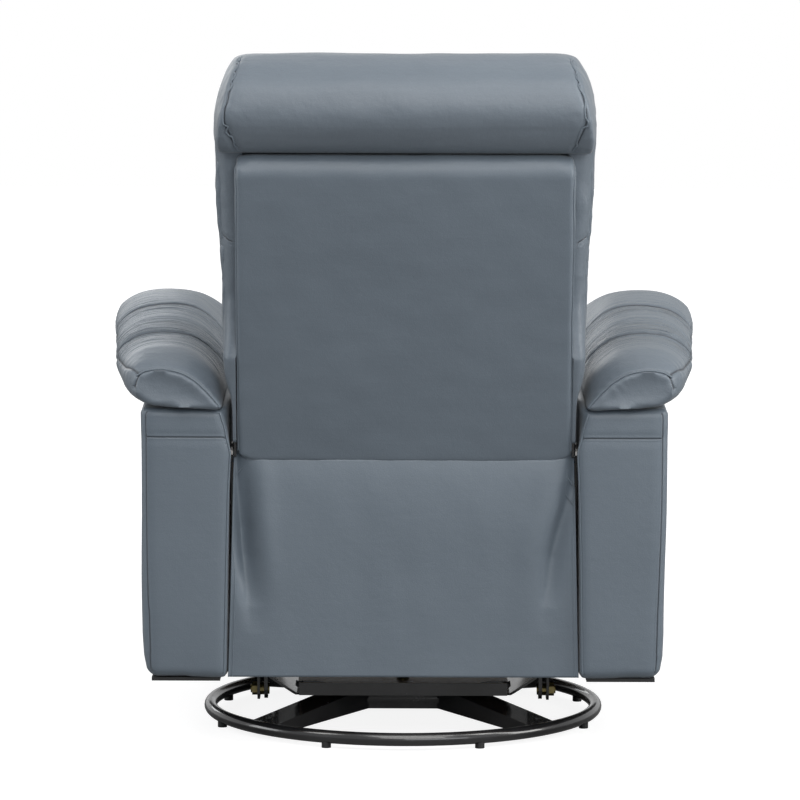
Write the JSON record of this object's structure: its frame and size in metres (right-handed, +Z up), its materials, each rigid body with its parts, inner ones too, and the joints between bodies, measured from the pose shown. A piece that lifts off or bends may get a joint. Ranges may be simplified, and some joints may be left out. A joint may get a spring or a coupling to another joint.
{
  "type": "swivel glider recliner",
  "caption": "Upholstered recliner on a round tubular swivel base, with a hanging-link glider, a reclining back, channelled padded arms and a fold-out footrest.",
  "frame": {"origin": "on the floor, on the swivel axis, at the centre of the footprint", "axes": "+Z up, -Y the way the sitter faces, +X to the sitter's left"},
  "size_m": [0.8522, 0.7749, 0.9612],
  "materials": {
    "leather": "satin, leather-look coated fabric with a fine grain",
    "black_steel": "gloss powder coat",
    "zinc": "yellow zinc plate",
    "steel": "plain",
    "black_plastic": "fine texture",
    "wood": "raw ply and pine"
  },
  "bodies": {
    "base": {"base_ring": "black_steel", "base_spider": "black_steel", "foot_glide_1": "black_plastic", "foot_glide_2": "black_plastic", "foot_glide_3": "black_plastic", "foot_glide_4": "black_plastic", "foot_glide_5": "black_plastic", "foot_glide_6": "black_plastic", "foot_glide_7": "black_plastic", "foot_glide_8": "black_plastic", "bearing_race_lower": "steel", "king_bolt": "zinc"},
    "carriage": {"glider_pan": "black_steel", "bearing_race_upper": "steel"},
    "glide_links_front": {"glide_link_front_left": "black_steel", "glide_link_front_right": "black_steel"},
    "glide_links_rear": {"glide_link_rear_left": "black_steel", "glide_link_rear_right": "black_steel"},
    "seat": {"glide_frame": "black_steel", "pivot_bolt_front_left": "zinc", "pivot_bolt_front_right": "zinc", "pivot_bolt_rear_left": "zinc", "pivot_bolt_rear_right": "zinc", "side_plate_left": "black_steel", "side_plate_right": "black_steel", "seat_box": "wood", "seat_spring_1": "steel", "seat_spring_2": "steel", "seat_spring_3": "steel", "seat_spring_4": "steel", "rear_rail": "wood", "seat_cushion": "leather", "arm_box_left": "leather", "arm_box_right": "leather", "arm_skid_left": "black_plastic", "arm_skid_right": "black_plastic", "arm_pillow_left": "leather", "arm_pillow_right": "leather", "back_flap": "leather", "release_cup": "black_plastic"},
    "back": {"back_frame": "wood", "back_bracket_left": "black_steel", "back_bracket_right": "black_steel", "lumbar_cushion": "leather", "middle_cushion": "leather", "head_roll": "leather"},
    "drive": {"footrest_drive": "black_steel"},
    "outer_links": {"footrest_outer_link_left": "black_steel", "footrest_outer_link_right": "black_steel"},
    "rear_controls": {"footrest_rear_control_left": "black_steel", "footrest_rear_control_right": "black_steel"},
    "board_controls": {"footrest_board_control_left": "black_steel", "footrest_board_control_right": "black_steel"},
    "footrest": {"footrest_bracket": "black_steel", "footrest_board": "wood", "footrest_pad": "leather"},
    "paddle": {"release_paddle": "black_plastic"}
  },
  "joints": [
    {"name": "swivel", "type": "hinge", "parent": "base", "child": "carriage", "pos_m": [0, 0, 0.052], "axis": [0, 0, 1], "continuous": true},
    {"name": "glide_front", "type": "hinge", "parent": "carriage", "child": "glide_links_front", "pos_m": [0, -0.13, 0.165], "axis": [1, 0, 0], "range_deg": [-28, 28]},
    {"name": "glide_seat", "type": "hinge", "parent": "glide_links_front", "child": "seat", "pos_m": [0, -0.13, 0.06], "axis": [1, 0, 0], "range_deg": [-28, 28]},
    {"name": "glide_rear", "type": "hinge", "parent": "carriage", "child": "glide_links_rear", "pos_m": [0, 0.13, 0.165], "axis": [1, 0, 0], "range_deg": [-28, 28]},
    {"name": "recline", "type": "hinge", "parent": "seat", "child": "back", "pos_m": [0, 0.215, 0.4], "axis": [-1, 0, 0], "range_deg": [0, 35], "deforming": ["back_flap"]},
    {"name": "footrest_drive_turn", "type": "hinge", "parent": "seat", "child": "drive", "pos_m": [0, -0.24, 0.125], "axis": [1, 0, 0], "range_deg": [0, 78.45]},
    {"name": "outer_link_turn", "type": "hinge", "parent": "drive", "child": "outer_links", "pos_m": [0, -0.08945, 0.29221], "axis": [1, 0, 0], "range_deg": [-115.3, 0]},
    {"name": "footrest_turn", "type": "hinge", "parent": "outer_links", "child": "footrest", "pos_m": [0, -0.298, 0.235], "axis": [1, 0, 0], "range_deg": [-53.3, 0]},
    {"name": "rear_control_turn", "type": "hinge", "parent": "seat", "child": "rear_controls", "pos_m": [0, -0.2082, 0.1162], "axis": [1, 0, 0], "range_deg": [0, 77.6]},
    {"name": "board_control_turn", "type": "hinge", "parent": "drive", "child": "board_controls", "pos_m": [0, -0.0845, 0.3066], "axis": [1, 0, 0], "range_deg": [-121, 0]},
    {"name": "release", "type": "hinge", "parent": "seat", "child": "paddle", "pos_m": [-0.351, -0.052, 0.383], "axis": [0, 1, 0], "range_deg": [0, 20], "stiffness_Nm_per_rad": 0.5, "springref_deg": -11.46}
  ],
  "couplings": [
    {"joint": "glide_front", "follows": "glide_seat", "ratio": -1},
    {"joint": "glide_rear", "follows": "glide_seat", "ratio": -1},
    {"joint": "outer_link_turn", "follows": "footrest_drive_turn", "ratio": -1.4687},
    {"joint": "footrest_turn", "follows": "footrest_drive_turn", "ratio": -0.6784},
    {"joint": "rear_control_turn", "follows": "footrest_drive_turn", "ratio": 0.9877},
    {"joint": "board_control_turn", "follows": "footrest_drive_turn", "ratio": -1.5405}
  ]
}
